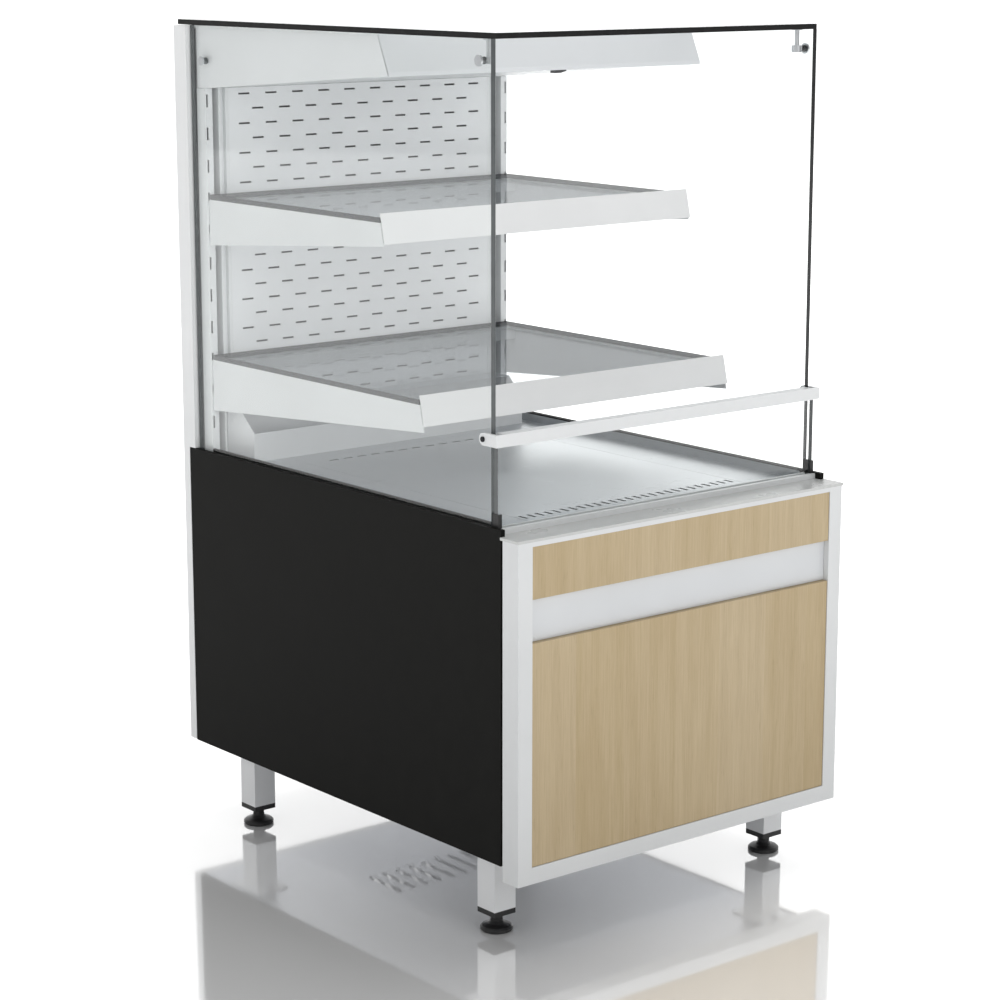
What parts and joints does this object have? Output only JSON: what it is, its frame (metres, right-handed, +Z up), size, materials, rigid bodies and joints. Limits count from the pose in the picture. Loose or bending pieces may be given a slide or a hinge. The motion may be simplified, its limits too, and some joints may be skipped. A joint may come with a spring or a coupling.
{
  "type": "hot food display case",
  "caption": "Free-standing open-front heated display case with glass sides and top, slanted-edge glass shelves, a warm deck, a wood-panelled base and levelling feet.",
  "frame": {"origin": "centre of the footprint, on the floor", "axes": "+Z up, +X to the right seen from the front, the open front faces -Y"},
  "size_m": [0.654, 0.869, 1.313],
  "materials": {
    "white_coat": "satin powder coat",
    "silver_coat": "satin powder coat",
    "grey_coat": "satin powder coat",
    "black_laminate": "satin compact laminate",
    "dark_coat": "matt",
    "galvanised_steel": "plain zinc-coated sheet",
    "zinc_steel": "zinc plated",
    "dark_screw": "blackened",
    "steel_fitting": "satin",
    "heater_steel": "oxidised",
    "oak": "satin laminate with vertical oak grain",
    "clear_glass": "clear, polished edges",
    "smoked_glass": "tinted, polished edges",
    "lamp_glass": "opal",
    "opal_plastic": "opal",
    "white_plastic": "fine texture",
    "grey_plastic": "fine texture",
    "black_plastic": "fine texture",
    "red_plastic": "gloss",
    "black_rubber": "matt",
    "mineral_board": "mineral fibre"
  },
  "bodies": {
    "case": {"legs": "white_coat", "leg_bolts": "zinc_steel", "leg_end_caps": "black_plastic", "base_frame": "galvanised_steel", "bottom_plate": "galvanised_steel", "left_side_panel": "black_laminate", "right_side_panel": "black_laminate", "front_frame": "white_coat", "front_backing_plate": "galvanised_steel", "upper_wood_panel": "oak", "lower_wood_panel": "oak", "recess_strip": "silver_coat", "front_ledge": "grey_coat", "front_glass_channel": "white_coat", "front_glass": "clear_glass", "front_bar": "white_coat", "pan_head_screws": "dark_screw", "glass_corner_clips": "black_plastic", "left_side_glass": "clear_glass", "right_side_glass": "clear_glass", "side_glass_seals": "black_rubber", "top_glass": "clear_glass", "glass_connectors": "steel_fitting", "deck_frame": "grey_coat", "warm_air_pan": "galvanised_steel", "insulation_boards": "mineral_board", "rear_riser_duct": "grey_coat", "perforated_back_panel": "grey_coat", "left_slotted_upright": "white_coat", "right_slotted_upright": "white_coat", "air_slot_profiles": "white_coat", "rear_inner_plate": "dark_coat", "rear_casing": "white_coat", "service_cover": "white_coat", "canopy_housing": "grey_coat", "canopy_fascia": "grey_coat", "lamp_diffuser": "opal_plastic", "lamp_tube": "lamp_glass", "lamp_holders": "white_plastic", "lamp_switch_body": "black_plastic", "heater_element": "heater_steel", "fan_motor": "dark_coat", "control_box": "black_plastic", "main_switch_body": "black_plastic", "cable_gland": "black_plastic"},
    "foot_front_left": {"foot_front_left": "black_plastic"},
    "foot_front_right": {"foot_front_right": "black_plastic"},
    "foot_rear_left": {"foot_rear_left": "black_plastic"},
    "foot_rear_right": {"foot_rear_right": "black_plastic"},
    "deck_tray": {"deck_tray": "grey_coat"},
    "upper_shelf": {"upper_shelf_frame": "white_coat", "upper_price_rail": "white_coat"},
    "upper_pane": {"upper_shelf_glass": "smoked_glass"},
    "lower_shelf": {"lower_shelf_frame": "white_coat", "lower_price_rail": "white_coat"},
    "lower_pane": {"lower_shelf_glass": "smoked_glass"},
    "fan": {"fan_rotor": "galvanised_steel"},
    "lamp_rocker": {"lamp_switch_rocker": "grey_plastic"},
    "main_rocker": {"main_switch_rocker": "red_plastic"},
    "thermostat": {"thermostat_knob": "black_plastic"}
  },
  "joints": [
    {"name": "foot_front_left_turn", "type": "hinge", "parent": "case", "child": "foot_front_left", "pos_m": [-0.2775, -0.3265, 0], "axis": [0, 0, 1], "continuous": true},
    {"name": "foot_front_right_turn", "type": "hinge", "parent": "case", "child": "foot_front_right", "pos_m": [0.2775, -0.3265, 0], "axis": [0, 0, 1], "continuous": true},
    {"name": "foot_rear_left_turn", "type": "hinge", "parent": "case", "child": "foot_rear_left", "pos_m": [-0.2775, 0.2995, 0], "axis": [0, 0, 1], "continuous": true},
    {"name": "foot_rear_right_turn", "type": "hinge", "parent": "case", "child": "foot_rear_right", "pos_m": [0.2775, 0.2995, 0], "axis": [0, 0, 1], "continuous": true},
    {"name": "deck_tray_lift", "type": "slide", "parent": "case", "child": "deck_tray", "axis": [0, 0, 1], "range_m": [0, 0.06]},
    {"name": "upper_shelf_unhook", "type": "slide", "parent": "case", "child": "upper_shelf", "axis": [0, 0, 1], "range_m": [0, 0.009]},
    {"name": "upper_pane_lift", "type": "slide", "parent": "upper_shelf", "child": "upper_pane", "axis": [0, 0, 1], "range_m": [0, 0.06]},
    {"name": "lower_shelf_unhook", "type": "slide", "parent": "case", "child": "lower_shelf", "axis": [0, 0, 1], "range_m": [0, 0.009]},
    {"name": "lower_pane_lift", "type": "slide", "parent": "lower_shelf", "child": "lower_pane", "axis": [0, 0, 1], "range_m": [0, 0.06]},
    {"name": "fan_spin", "type": "hinge", "parent": "case", "child": "fan", "pos_m": [0, 0.1265, 0.539], "axis": [0, 0, 1], "continuous": true},
    {"name": "lamp_rocker_press", "type": "hinge", "parent": "case", "child": "lamp_rocker", "pos_m": [0.027, -0.1008, 1.2518], "axis": [0, 1, 0], "range_deg": [0, 14]},
    {"name": "main_rocker_press", "type": "hinge", "parent": "case", "child": "main_rocker", "pos_m": [0.168, 0.4085, 0.565], "axis": [1, 0, 0], "range_deg": [0, 16]},
    {"name": "thermostat_turn", "type": "hinge", "parent": "case", "child": "thermostat", "pos_m": [0.232, 0.4125, 0.565], "axis": [0, 1, 0], "range_deg": [0, 270]}
  ]
}
